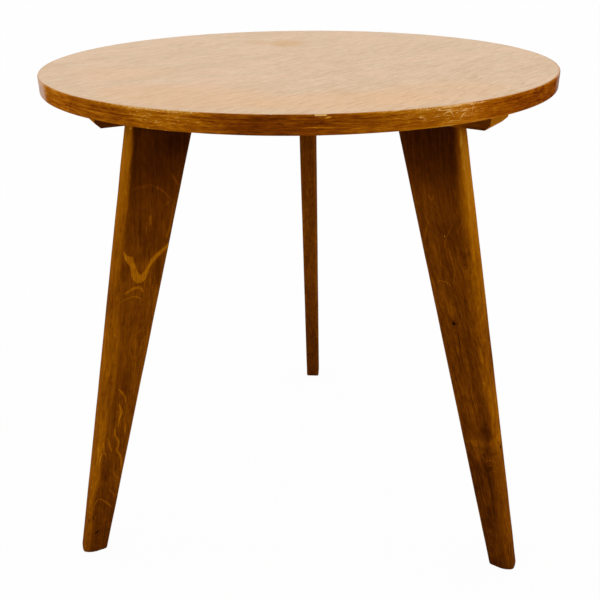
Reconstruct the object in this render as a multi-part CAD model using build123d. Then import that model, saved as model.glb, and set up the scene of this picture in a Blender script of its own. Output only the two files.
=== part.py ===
# Round side table on three flat splayed legs, in millimetres, +Z up.
#
# The top is a veneered panel with a band glued round its edge. Under it three
# rails meet in a Y at the table's axis, mitred against each other, and are
# screwed up into the panel. Each leg is a tapered board that stands on edge in
# its rail's radial plane and butts against the rail's underside, where two
# dowels and one long screw hold it. Nothing on the table moves.
#
# The origin is on the floor, at the middle of the box round the whole table.
# The rear leg points to +Y, so the table's own axis lies a little towards -Y.

import math
import os

from build123d import *

# Top panel
top_diameter = 600.0
core_thickness = 17.0
veneer_thickness = 0.7
band_thickness = 2.2
band_arris_radius = 1.3

# Rails under the top
rail_height = 30.5
rail_width = 52.0
rail_setback = 45.0
rail_overhang = 41.0
rail_end_chamfer = 6.0
rail_arris_radius = 0.8

# Legs
leg_height = 578.5
leg_thickness = 22.0
leg_top_width = 77.0
leg_foot_width = 30.5
leg_splay = 123.5
leg_outer_radius = 4.0
leg_inner_radius = 2.5
leg_foot_radius = 1.5

# Dowels between leg and rail
dowel_radius = 4.0
dowel_depth_in_rail = 20.0
dowel_depth_in_leg = 30.0
dowel_end_chamfer = 1.0
dowel_edge_distance = 16.0

# Long screw from each rail down into its leg
leg_screw_radius = 2.5
leg_screw_head_radius = 5.0
leg_screw_bite = 40.0
leg_screw_sink = 0.5

# Screws from the rails up into the top
rail_screw_radius = 2.0
rail_screw_head_radius = 4.0
rail_screw_bite = 13.0
rail_screw_counterbore = 8.0

# What all screws share
screw_point_length = 6.0
screw_slot_width = 1.0
screw_slot_depth = 1.2
screw_thread_share = 0.62
screw_core_share = 0.78

# The most of a wall, or of the arris it runs round, that a rounded arris may take
arris_wall_share = 0.7
edge_wall_share = 0.35
foot_arris_share = 0.85

# Clearances
glue_line = 0.05
screw_clearance = 0.15
head_clearance = 0.4
blind_hole_clearance = 1.0
cut_overrun = 2.0

# The three arms of the frame, anticlockwise from +Y
arm_names = ["rear", "left", "right"]
rear_azimuth = 90.0

# Heights and radii that follow from the sizes above
top_radius = top_diameter / 2
core_radius = top_radius - band_thickness
rail_base = leg_height
rail_top = rail_base + rail_height
underside_veneer_top = rail_top + veneer_thickness
core_top = underside_veneer_top + core_thickness
table_height = core_top + veneer_thickness

rail_reach = top_radius - rail_setback
leg_top_reach = rail_reach - rail_overhang
leg_top_inner = leg_top_reach - leg_top_width
foot_reach = leg_top_reach + leg_splay
foot_inner = foot_reach - leg_foot_width

arm_count = len(arm_names)
arm_step = 360.0 / arm_count
mitre_angle = arm_step / 2

# The table's axis stands off the origin, which is the middle of the box
back_reach = max(foot_reach, top_radius)
axis_y = (top_radius - back_reach) / 2

dowel_places = [leg_top_inner + dowel_edge_distance, leg_top_reach - dowel_edge_distance]
leg_screw_place = sum(dowel_places) / len(dowel_places)
rail_screw_places = [leg_top_inner / 2, (leg_top_reach + rail_reach - rail_end_chamfer) / 2]


def disc(radius, base, thickness):
    """A flat round sheet on the table's axis."""
    return Pos(0, 0, base) * extrude(Circle(radius), thickness)


def upright_pin(radius, low, high):
    """A plain cylinder on the Z axis between two heights."""
    return Pos(0, 0, low) * extrude(Circle(radius), high - low)


def head_cone(head_radius, shank_radius):
    """The countersunk underside of a screw head, its wide end at z = 0."""
    depth = head_radius - shank_radius
    return Pos(0, 0, depth / 2) * Cone(head_radius, shank_radius, depth)


def wood_screw(length, head_radius, shank_radius):
    """A slotted countersunk wood screw, head at z = 0 and point at z = length."""
    root_radius = shank_radius * screw_core_share
    point_length = min(screw_point_length, length / 2)
    thread_length = (length - point_length) * screw_thread_share
    thread_base = length - point_length - thread_length
    head_depth = head_radius - shank_radius
    outline = Polyline(
        (0, 0),
        (head_radius, 0),
        (shank_radius, head_depth),
        (shank_radius, thread_base),
        (root_radius, thread_base + shank_radius - root_radius),
        (root_radius, length - point_length),
        (0, length),
        close=True,
    )
    body = revolve(make_face(Plane.XZ * outline), Axis.Z)
    slot = Box(head_radius * 2 + cut_overrun, screw_slot_width, screw_slot_depth * 2)
    return body - slot


def screw_cutter(length, head_radius, shank_radius, counterbore):
    """The hole for a screw: access bore, cone seat and shank hole, head at z = 0."""
    access = upright_pin(head_radius + head_clearance, -counterbore, 0)
    seat = head_cone(head_radius, shank_radius)
    seat_rim = upright_pin(head_radius, -counterbore, 0)
    shank = upright_pin(shank_radius + screw_clearance, 0, length)
    return access + seat_rim + seat + shank


def leg_screw():
    """One long screw with its head just below the rail's top face, point down."""
    length = rail_height - leg_screw_sink + leg_screw_bite
    screw = wood_screw(length, leg_screw_head_radius, leg_screw_radius)
    return Pos(leg_screw_place, 0, rail_top - leg_screw_sink) * Rot(180, 0, 0) * screw


def leg_screw_hole():
    """The hole for the long screw through the rail and into the leg."""
    length = rail_height - leg_screw_sink + leg_screw_bite + blind_hole_clearance
    hole = screw_cutter(length, leg_screw_head_radius, leg_screw_radius, leg_screw_sink + cut_overrun)
    return Pos(leg_screw_place, 0, rail_top - leg_screw_sink) * Rot(180, 0, 0) * hole


def rail_screw(place):
    """One screw with its head up a counterbore in the rail's underside."""
    length = rail_height - rail_screw_counterbore + rail_screw_bite
    screw = wood_screw(length, rail_screw_head_radius, rail_screw_radius)
    return Pos(place, 0, rail_base + rail_screw_counterbore) * screw


def rail_screw_hole(place):
    """The hole for a rail screw, from the rail's underside into the panel."""
    length = rail_height - rail_screw_counterbore + rail_screw_bite + blind_hole_clearance
    bore_depth = rail_screw_counterbore + cut_overrun
    hole = screw_cutter(length, rail_screw_head_radius, rail_screw_radius, bore_depth)
    return Pos(place, 0, rail_base + rail_screw_counterbore) * hole


def dowel(place):
    """A dowel with chamfered ends, half in the leg and half in the rail."""
    low = rail_base - dowel_depth_in_leg
    high = rail_base + dowel_depth_in_rail
    pin = upright_pin(dowel_radius, low, high)
    pin = chamfer(pin.edges().filter_by(GeomType.CIRCLE), dowel_end_chamfer)
    return Pos(place, 0, 0) * pin


def dowel_hole(place):
    """The blind hole that a dowel is glued into, in leg and rail together."""
    low = rail_base - dowel_depth_in_leg - blind_hole_clearance
    high = rail_base + dowel_depth_in_rail + blind_hole_clearance
    return Pos(place, 0, 0) * upright_pin(dowel_radius + glue_line, low, high)


def rail():
    """One rail along +X, with its mitred inner end on the table's axis."""
    half = rail_width / 2
    shoulder = half / math.tan(math.radians(mitre_angle))
    plan = Polyline(
        (0, 0),
        (shoulder, -half),
        (rail_reach, -half),
        (rail_reach, half),
        (shoulder, half),
        close=True,
    )
    bar = Pos(0, 0, rail_base) * extrude(make_face(plan), rail_height)
    end_edge = bar.faces().sort_by(Axis.X)[-1].edges().sort_by(Axis.Z)[0]
    bar = chamfer(end_edge, rail_end_chamfer)
    long_edges = bar.faces().sort_by(Axis.Z)[0].edges().filter_by(Axis.X)
    bar = fillet(long_edges, rail_arris_radius)
    for place in dowel_places:
        bar -= dowel_hole(place)
    for place in rail_screw_places:
        bar -= rail_screw_hole(place)
    return bar - leg_screw_hole()


def leg():
    """One leg in the plane y = 0, leaning out along +X, its foot flat on the floor."""
    profile = Polyline(
        (leg_top_inner, rail_base),
        (leg_top_reach, rail_base),
        (foot_reach, 0),
        (foot_inner, 0),
        close=True,
    )
    board = extrude(make_face(Plane.XZ * profile), leg_thickness / 2, both=True)
    widest_radius = leg_thickness * edge_wall_share
    inner_radius = min(leg_inner_radius, widest_radius)
    board = fillet(long_arrises(board)[-2:], min(leg_outer_radius, widest_radius))
    board = fillet(long_arrises(board)[:2], inner_radius)
    foot_rim = board.edges().group_by(Axis.Z)[0]
    board = fillet(foot_rim, min(leg_foot_radius, inner_radius * foot_arris_share))
    for place in dowel_places:
        board -= dowel_hole(place)
    return board - leg_screw_hole()


def long_arrises(board):
    """The arrises that run down a leg's length, from the inner pair to the outer pair."""
    sloping = [edge for edge in board.edges() if 0 < edge.center().Z < rail_base]
    return sorted(sloping, key=lambda edge: edge.center().X)


def top_core():
    """The panel's core, with blind pilot holes for the rail screws."""
    panel = disc(core_radius, underside_veneer_top, core_thickness)
    return panel - panel_screw_holes()


def underside_veneer():
    """The balancing veneer, pierced where the rail screws pass."""
    return disc(core_radius, rail_top, veneer_thickness) - panel_screw_holes()


def top_veneer():
    """The face veneer that shows from above."""
    return disc(core_radius, core_top, veneer_thickness)


def panel_screw_holes():
    """Every rail screw's hole at once, for the layers of the panel."""
    arms = range(arm_count)
    return [on_arm(index, rail_screw_hole(place)) for index in arms for place in rail_screw_places]


def edge_band():
    """The band glued round the panel, its arrises eased."""
    height = table_height - rail_top
    outer = disc(top_radius, rail_top, height)
    arris_radius = min(band_arris_radius, band_thickness * arris_wall_share)
    outer = fillet(outer.edges().filter_by(GeomType.CIRCLE), arris_radius)
    inner = disc(core_radius + glue_line, rail_top - cut_overrun, height + cut_overrun * 2)
    return outer - inner


def on_arm(index, piece):
    """Turn a piece that was built along +X onto its arm."""
    return Rot(0, 0, rear_azimuth + index * arm_step) * piece


def write(name, piece):
    """Move a piece from the table's axis into the frame and save it."""
    placed = Pos(0, axis_y, 0) * piece
    placed.label = name
    export_step(placed, os.path.join("parts", name + ".step"))


def group(pieces):
    """Several separate solids that share one node."""
    return Compound(pieces)


def main():
    os.makedirs("parts", exist_ok=True)
    write("top_core", top_core())
    write("top_veneer", top_veneer())
    write("underside_veneer", underside_veneer())
    write("edge_band", edge_band())
    for index, name in enumerate(arm_names):
        write("rail_" + name, on_arm(index, rail()))
        write("leg_" + name, on_arm(index, leg()))
        write("leg_screw_" + name, on_arm(index, leg_screw()))
        write("dowels_" + name, group([on_arm(index, dowel(place)) for place in dowel_places]))
        write("rail_screws_" + name, group([on_arm(index, rail_screw(place)) for place in rail_screw_places]))
    print("height", round(table_height, 2), "rail reach", rail_reach, "foot reach", foot_reach, "axis y", axis_y)


main()
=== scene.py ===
# Tripod side table: a round oak top with a stained edge band on three splayed legs
import math

import bmesh
import bpy
from mathutils import Matrix, Vector, noise


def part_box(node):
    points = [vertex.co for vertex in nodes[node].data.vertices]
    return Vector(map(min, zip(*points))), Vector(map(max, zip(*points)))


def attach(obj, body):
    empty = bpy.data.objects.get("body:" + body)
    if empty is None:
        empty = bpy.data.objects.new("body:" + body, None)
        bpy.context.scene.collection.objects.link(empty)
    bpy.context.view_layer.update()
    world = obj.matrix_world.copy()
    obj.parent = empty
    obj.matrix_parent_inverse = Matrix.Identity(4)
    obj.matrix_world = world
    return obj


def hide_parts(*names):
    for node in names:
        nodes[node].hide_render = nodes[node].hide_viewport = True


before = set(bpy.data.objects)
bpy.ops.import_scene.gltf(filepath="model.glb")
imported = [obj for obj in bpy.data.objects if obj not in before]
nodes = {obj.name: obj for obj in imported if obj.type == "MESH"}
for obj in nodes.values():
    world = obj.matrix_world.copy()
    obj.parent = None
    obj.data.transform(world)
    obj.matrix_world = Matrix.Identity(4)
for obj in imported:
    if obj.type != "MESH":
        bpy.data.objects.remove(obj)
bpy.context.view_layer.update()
print("table frame loaded:", len(nodes), "nodes")

mm = 0.001  # one millimetre in scene units

# Where the table stands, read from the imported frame
topLow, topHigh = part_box("edge_band")
tableAxis = (topLow + topHigh) / 2
topRadius = (topHigh.x - topLow.x) / 2
topHeight = topHigh.z
legLow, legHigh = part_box("leg_rear")
legAzimuths = {"rear": 90.0, "left": 210.0, "right": 330.0}


# Camera, set first so that every later choice can be judged through it
cameraSetup = {
    "fromAxis": (0.06569, -0.95457, 0.76911),  # from the foot of the table's axis
    "lookDown": 25.694,  # degrees below level
    "turn": -4.012,  # degrees from +Y towards +X
    "roll": 0.59,
    "lens": 46.255,
    "sensor": 36.0,
}


def makeCamera(setup):
    down, turn, roll = (math.radians(setup[key]) for key in ("lookDown", "turn", "roll"))
    forward = Vector((math.sin(turn) * math.cos(down), math.cos(turn) * math.cos(down), -math.sin(down)))
    level = Vector((math.cos(turn), -math.sin(turn), 0))
    below = forward.cross(level)
    right = level * math.cos(roll) + below * math.sin(roll)
    up = level * math.sin(roll) - below * math.cos(roll)
    data = bpy.data.cameras.new("tableCamera")
    data.lens = setup["lens"]
    data.sensor_width = setup["sensor"]
    data.clip_start = 0.05
    data.clip_end = 200
    camera = bpy.data.objects.new("tableCamera", data)
    turned = Matrix((right, up, -forward)).transposed()
    place = Vector((tableAxis.x, tableAxis.y, 0)) + Vector(setup["fromAxis"])
    camera.matrix_world = Matrix.Translation(place) @ turned.to_4x4()
    bpy.context.scene.collection.objects.link(camera)
    bpy.context.scene.camera = camera


makeCamera(cameraSetup)
bpy.context.scene.view_settings.view_transform = "Standard"
print("camera placed")


# Short calls that wire a material's nodes
def tone(red, green, blue):
    # screen values from 0 to 255, as a linear colour
    shares = [value / 255 for value in (red, green, blue)]
    linear = [s / 12.92 if s <= 0.04045 else ((s + 0.055) / 1.055) ** 2.4 for s in shares]
    return (*linear, 1.0)


strokeLook = {  # how drawn marks end and blur, in millimetres where it isn't a share
    "endShare": 0.35,
    "blur": 0.7,
    "blurShare": 0.25,
    "endFade": 0.9,
    "spotFade": (1.0, 0.1),
}

# In every look below, a pair is where something begins to show and where it is full; four numbers are
# such a pair and what it gives at either end. A curve is a list of (place, value)
curveSpans = {  # the lowest and highest value of the curves that don't run from 0 to 1
    "goldEdge": (0.0, 16.0),
    "grainShift": (-60.0, 60.0),
    "lively": (0.0, 1.5),
    "outerGain": (-0.1, 0.1),
    "innerGain": (-0.1, 0.1),
    "wornArrisAndHighlight": (-0.2, 0.4),
    "wornLowerAndHighlight": (-0.2, 0.4),
    "flecks": (0.0, 0.4),
}


class Board:
    def __init__(self, tree):
        self.tree = tree
        tree.nodes.clear()

    def add(self, kind, **settings):
        node = self.tree.nodes.new(kind)
        for key, value in settings.items():
            setattr(node, key, value)
        return node

    def feed(self, socket, value):
        if isinstance(value, bpy.types.NodeSocket):
            self.tree.links.new(value, socket)
        else:
            socket.default_value = value

    def fed(self, node, *values):
        # the node, its sockets fed in their order
        for socket, value in zip(node.inputs, values):
            self.feed(socket, value)
        return node

    def named(self, node, values):
        # the node, its sockets fed by their names
        for name, value in values.items():
            self.feed(node.inputs[name], value)
        return node

    def calc(self, operation, *values):
        return self.fed(self.add("ShaderNodeMath", operation=operation), *values).outputs[0]

    def chain(self, operation, values):
        result = values[0]
        for value in values[1:]:
            result = self.calc(operation, result, value)
        return result

    def total(self, *values):
        return self.chain("ADD", values)

    def product(self, *values):
        return self.chain("MULTIPLY", values)

    def highest(self, *values):
        return self.chain("MAXIMUM", values)

    def minus(self, value, taken):
        return self.calc("SUBTRACT", value, taken)

    def size(self, value):
        return self.calc("ABSOLUTE", value)

    def swing(self, value, amount):
        # noise round 0.5 as a swing round 0
        return self.calc("MULTIPLY_ADD", value, amount, -amount / 2)

    def swings(self, clouds, shares):
        return [self.swing(clouds[name], share) for name, share in shares.items()]

    def vector(self, operation, *values):
        return self.fed(self.add("ShaderNodeVectorMath", operation=operation), *values).outputs[0]

    def joined(self, x, y, z):
        return self.fed(self.add("ShaderNodeCombineXYZ"), x, y, z).outputs[0]

    def parts(self, vector):
        return tuple(self.fed(self.add("ShaderNodeSeparateXYZ"), vector).outputs)

    def remap(self, value, low, high, toLow=0.0, toHigh=1.0, how="LINEAR"):
        node = self.add("ShaderNodeMapRange", interpolation_type=how, clamp=True)
        ends = {"Value": value, "From Min": low, "From Max": high, "To Min": toLow, "To Max": toHigh}
        return self.named(node, ends).outputs[0]

    def soft(self, value, low, high, toLow=0.0, toHigh=1.0):
        return self.remap(value, low, high, toLow, toHigh, "SMOOTHSTEP")

    def mix(self, factor, first, second, how="MIX"):
        node = self.add("ShaderNodeMix", data_type="RGBA", blend_type=how, clamp_factor=True)
        for number, value in ((0, factor), (6, first), (7, second)):
            self.feed(node.inputs[number], value)
        return node.outputs[2]

    def cloud(self, place, sizes, detail=2.0, roughness=0.5, wobble=0.0):
        # noise whose blobs are about sizes millimetres along each axis
        scaled = self.vector("MULTIPLY", place, tuple(1 / size for size in sizes))
        look = {"Scale": 1.0, "Detail": detail, "Roughness": roughness, "Distortion": wobble}
        node = self.add("ShaderNodeTexNoise", noise_dimensions="3D")
        return self.named(node, {"Vector": scaled, **look}).outputs[0]

    def clouds(self, place, table):
        return {name: self.cloud(place, *settings) for name, settings in table.items()}

    def curve(self, value, points, outLow, outHigh):
        # a curve through points, given as (place, height) in real units
        points = sorted(points)
        low, high = points[0][0], points[-1][0]
        node = self.add("ShaderNodeFloatCurve")
        line = node.mapping.curves[0]
        shares = [((x - low) / (high - low), (y - outLow) / (outHigh - outLow)) for x, y in points]
        while len(line.points) < len(shares):
            line.points.new(0.5, 0.5)
        for point, share in zip(line.points, shares):
            point.location = share
            point.handle_type = "AUTO_CLAMPED"
        node.mapping.update()
        self.feed(node.inputs["Value"], self.remap(value, low, high))
        return self.remap(node.outputs[0], 0.0, 1.0, outLow, outHigh)

    def along(self, value, look, key):
        # the look's own curve of that name
        return self.curve(value, look[key], *curveSpans.get(key, (0.0, 1.0)))

    def ramp(self, value, stops):
        node = self.add("ShaderNodeValToRGB")
        line = node.color_ramp
        while len(line.elements) < len(stops):
            line.elements.new(0.5)
        for element, (place, colour) in zip(line.elements, stops):
            element.position = place
            element.color = colour
        return self.fed(node, value).outputs[0]

    def spot(self, across, along, place, size, tilt=0.0):
        # 1 in the middle of a soft oval, 0 outside; place and size as (across, along), tilt in degrees
        x, y = self.minus(across, place[0]), self.minus(along, place[1])
        if tilt:
            cos, sin = math.cos(math.radians(tilt)), math.sin(math.radians(tilt))
            x, y = (
                self.total(self.product(x, cos), self.product(y, sin)),
                self.total(self.product(y, cos), self.product(x, -sin)),
            )
        x, y = self.calc("DIVIDE", x, size[0]), self.calc("DIVIDE", y, size[1])
        return self.soft(self.total(self.product(x, x), self.product(y, y)), *strokeLook["spotFade"])

    def trail(self, run, across, strength, half, line):
        # a drawn line through [(place along run, place across)], in millimetres, thinner at both ends;
        # a third number is the half width at that point
        line = sorted(line)
        last = len(line) - 1
        widths = []
        for number, point in enumerate(line):
            before, after = line[max(number - 1, 0)], line[min(number + 1, last)]
            slope = (after[1] - before[1]) / (after[0] - before[0])
            share = strokeLook["endShare"] if number in (0, last) else 1.0
            width = point[2] if len(point) > 2 else half * share
            widths.append((point[0], width * math.hypot(1.0, slope)))
        sides = [point[1] for point in line]
        widest = max(width for place, width in widths)
        middle = self.curve(run, [point[:2] for point in line], min(sides) - 1, max(sides) + 1)
        away = self.size(self.minus(across, middle))
        blur = strokeLook["blur"] + strokeLook["blurShare"] * widest
        depth = self.minus(self.curve(run, widths, 0.0, widest), away)
        body = self.soft(depth, -blur / 2, blur / 2, 0.0, strength)
        outside = self.highest(self.minus(line[0][0], run), self.minus(run, line[-1][0]))
        return self.product(body, self.soft(outside, strokeLook["endFade"], 0.0))

    def lightAndDark(self, marks):
        # the strongest mark of each sign, as two levels
        light = [mark for strength, mark in marks if strength > 0]
        dark = [mark for strength, mark in marks if strength < 0]
        return self.highest(0.0, *light), self.highest(0.0, *dark)

    def bump(self, height, distance, strength):
        sockets = {"Height": height, "Distance": distance * mm, "Strength": strength}
        return self.named(self.add("ShaderNodeBump"), sockets).outputs[0]

    def blend(self, share, first, second, output):
        # two shaders mixed by share, on their way to the output
        node = self.fed(self.add("ShaderNodeMixShader"), share, first.outputs[0], second.outputs[0])
        self.fed(self.add(output), node.outputs[0])

    def finish(self, colour, roughness, normal, plain):
        sockets = {"Base Color": colour, "Roughness": roughness, "Normal": normal, **plain}
        shader = self.named(self.add("ShaderNodeBsdfPrincipled"), sockets)
        self.fed(self.add("ShaderNodeOutputMaterial"), shader.outputs[0])


def newMaterial(name):
    material = bpy.data.materials.new(name)
    material.use_nodes = True
    return material, Board(material.node_tree)


def millimetres(board):
    # the piece's own coordinates, in millimetres
    place = board.add("ShaderNodeTexCoord").outputs["Object"]
    return board.vector("MULTIPLY", place, (1 / mm, 1 / mm, 1 / mm))


def turnedPlace(board, azimuth):
    # millimetres from the table's axis, with X along the arm that points to azimuth
    place = board.vector("SUBTRACT", millimetres(board), (0.0, tableAxis.y / mm, 0.0))
    node = board.add("ShaderNodeVectorRotate", rotation_type="Z_AXIS")
    return board.named(node, {"Vector": place, "Angle": -math.radians(azimuth)}).outputs[0]


def dress(nodeName, material):
    for slot in nodes[nodeName].material_slots:
        slot.material = material


def addPiece(name, mesh, material, replaced, place):
    mesh.materials.append(material)
    piece = bpy.data.objects.new(name, mesh)
    bpy.context.scene.collection.objects.link(piece)
    piece.matrix_world = place
    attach(piece, "root")
    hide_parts(replaced)


def markCreases(mesh, degrees=40.0):
    # smooth everywhere but at real corners
    form = bmesh.new()
    form.from_mesh(mesh)
    bmesh.ops.recalc_face_normals(form, faces=form.faces)
    for face in form.faces:
        face.smooth = True
    for edge in form.edges:
        edge.smooth = len(edge.link_faces) == 2 and edge.calc_face_angle(0.0) < math.radians(degrees)
    form.to_mesh(mesh)
    form.free()


def meshFromRings(name, rings, capped):
    # rings of equal length, joined one to the next; capped closes both ends, else the last meets the first
    count = len(rings[0])
    points = [point for ring in rings for point in ring]
    last = len(rings) - 1 if capped else len(rings)
    faces = []
    for row in range(last):
        here, there = row * count, (row + 1) % len(rings) * count
        for step in range(count):
            beside = (step + 1) % count
            faces.append((here + step, here + beside, there + beside, there + step))
    if capped:
        faces.append(tuple(reversed(range(count))))
        faces.append(tuple(range(last * count, last * count + count)))
    mesh = bpy.data.meshes.new(name)
    mesh.from_pydata(points, [], faces)
    markCreases(mesh)
    return mesh


# Stage: pale floor and even light, a little stronger from both sides
stageLook = {
    "floorSize": 60.0,
    "floorDrop": 0.4,  # millimetres below the feet
    "floorColour": tone(231, 230, 229),
    "floorShown": 0.965,  # how much of the floor the camera sees as plain white
    "zenith": 1.2,
    "horizon": 0.42,
    "riseSpan": (-0.05, 0.85),  # between which heights the sky goes from one to the other
    "white": (1, 1, 1, 1),
    "sideGain": 0.85,
}


def seenPlain(board):
    # 1 for rays that show the studio to the camera, straight or through a mirror or glass
    rays = board.add("ShaderNodeLightPath")
    kinds = ("Is Camera Ray", "Is Glossy Ray", "Is Transmission Ray")
    return board.highest(*(rays.outputs[kind] for kind in kinds))


def makeStage(look):
    half = look["floorSize"] / 2
    corners = [(-half, -half, 0), (half, -half, 0), (half, half, 0), (-half, half, 0)]
    mesh = bpy.data.meshes.new("floorSheet")
    mesh.from_pydata(corners, [], [(0, 1, 2, 3)])
    floor = bpy.data.objects.new("floorSheet", mesh)
    floor.location.z = -look["floorDrop"] * mm
    bpy.context.scene.collection.objects.link(floor)
    material, board = newMaterial("floorWhite")
    matte = board.named(board.add("ShaderNodeBsdfDiffuse"), {"Color": look["floorColour"]})
    share = board.product(seenPlain(board), look["floorShown"])
    board.blend(share, matte, board.add("ShaderNodeEmission"), "ShaderNodeOutputMaterial")
    mesh.materials.append(material)


def makeSky(look):
    world = bpy.data.worlds.new("studioDome")
    world.use_nodes = True
    bpy.context.scene.world = world
    board = Board(world.node_tree)
    across, up = board.parts(board.add("ShaderNodeTexCoord").outputs["Generated"])[::2]
    rise = board.soft(up, *look["riseSpan"], look["horizon"], look["zenith"])
    gain = look["sideGain"]
    side = board.calc("MULTIPLY_ADD", board.size(across), gain, 1.0 - gain / 2)
    lamp, plain = (board.fed(board.add("ShaderNodeBackground"), look["white"]) for number in range(2))
    board.named(lamp, {"Strength": board.product(rise, side)})
    board.blend(seenPlain(board), lamp, plain, "ShaderNodeOutputWorld")


makeStage(stageLook)
makeSky(stageLook)
print("floor and light ready")


# Stained oak: a level from 0 to 1 picks the stain's depth, dark to bare
stainedOak = {
    "depths": [
        (0.08, tone(22, 5, 1)), (0.20, tone(52, 18, 1)), (0.30, tone(77, 34, 1)), (0.40, tone(102, 49, 2)),
        (0.50, tone(128, 67, 3)), (0.60, tone(154, 87, 2)), (0.72, tone(184, 112, 6)),
        (0.84, tone(208, 148, 46)), (0.97, tone(238, 196, 124)),
    ],
    "clouds": {  # size in millimetres with the grain along Z, then detail, roughness and wobble
        "streak": ((2.4, 2.4, 60), 3.0, 0.62, 0.2),
        "fibre": ((1.0, 1.0, 16), 2.0, 0.6),
        "pore": ((0.6, 0.6, 7), 1.0),
        "patch": ((14, 14, 45), 2.0, 0.5, 0.4),
        "mottle": ((4.5, 4.5, 9), 2.0, 0.6),
    },
    "swings": {"streak": 0.27, "fibre": 0.30, "patch": 0.16, "mottle": 0.16},
    "poreSpan": (0.60, 0.74),
    "poreDepth": -0.07,
    "satin": {"Specular IOR Level": 0.0, "Coat Weight": 0.02, "Coat IOR": 1.3, "Coat Roughness": 0.36},
}


def stainedGrain(board, place, seed, streakShare=1.0):
    # the clouds of the grain, its pores, and how far both swing the stain's level
    shifted = board.vector("ADD", place, tuple(value * 100 for value in seed))
    grain = board.clouds(shifted, stainedOak["clouds"])
    pores = board.soft(grain["pore"], *stainedOak["poreSpan"])
    shares = dict(stainedOak["swings"])
    shares["streak"] *= streakShare
    swing = board.total(*board.swings(grain, shares), board.product(pores, stainedOak["poreDepth"]))
    return grain, pores, swing


# Legs: tapered boards with worn, hand-rounded arrises
legShape = {
    "topInner": 137.0,  # all in millimetres from the table's axis
    "topOuter": 214.0,
    "footInner": 307.0,
    "footOuter": 337.5,
    "outerEase": (8.0, 3.0, 1.6),  # how far the outer arrises are eased, across and through, and how full
    "innerEase": (2.5, 2.5, 2.0),
    "footRound": 2.7,
    "toeRound": 1.7,  # how far the foot's outer lower edge is rounded
    "toeEase": (11.0, 8.9, 7.6),  # what the outer arrises' easing gains at the floor, and from what height
    "lowRings": (0.0, 0.1, 0.3, 0.7, 1.2, 1.8, 2.5, 3.4, 4.5, 6.0, 8.0),  # heights of the foot's own rings
    "ringStep": 3.0,
    "arrisSteps": {"outerEase": 10, "innerEase": 5},
    "faceSteps": (20, 4, 20, 4),  # along the broad, inner, broad and outer face
    "wave": (0.14, 38.0),  # how far the planed faces wander, and over what length
    "easeWander": (0.3, 45.0, 9.1),  # by what share, over what length, and how far apart the arrises are
    "leastEase": 0.5,
    "throughGain": 3,  # how much more the faces wander through the board than across it
}

# What the broad faces share, in millimetres where it is a place or a size
legFinish = {
    "markFace": (4.0, 8.0),  # from the middle plane, where the near face's marks fade in
    "ragged": ((4, 9, 26), 2.0, 0.6),  # frays the border of the golden strip
    "raggedSwing": 5.0,
    "broken": (0.2, 0.55, 0.6, 1.0),  # how the fibres break up the marks
    "outsideFade": (6.0, 3.0),  # below the outer face, for that face's own spots
    "outerFade": (4.0, 0.5),
    "rubbing": ((2.5, 2.5, 12), 3.0, 0.65),
    "rubbed": (0.54, 0.70, 0.0, 0.07),
    "outerArris": (6.5, 3.2),
    "innerArris": (4.5, 1.0),
    "roughness": (0.6, 1.4, 0.42, 0.60),
    "fibreRelief": 0.5,
    "relief": (0.12, 0.4),
}

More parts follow.
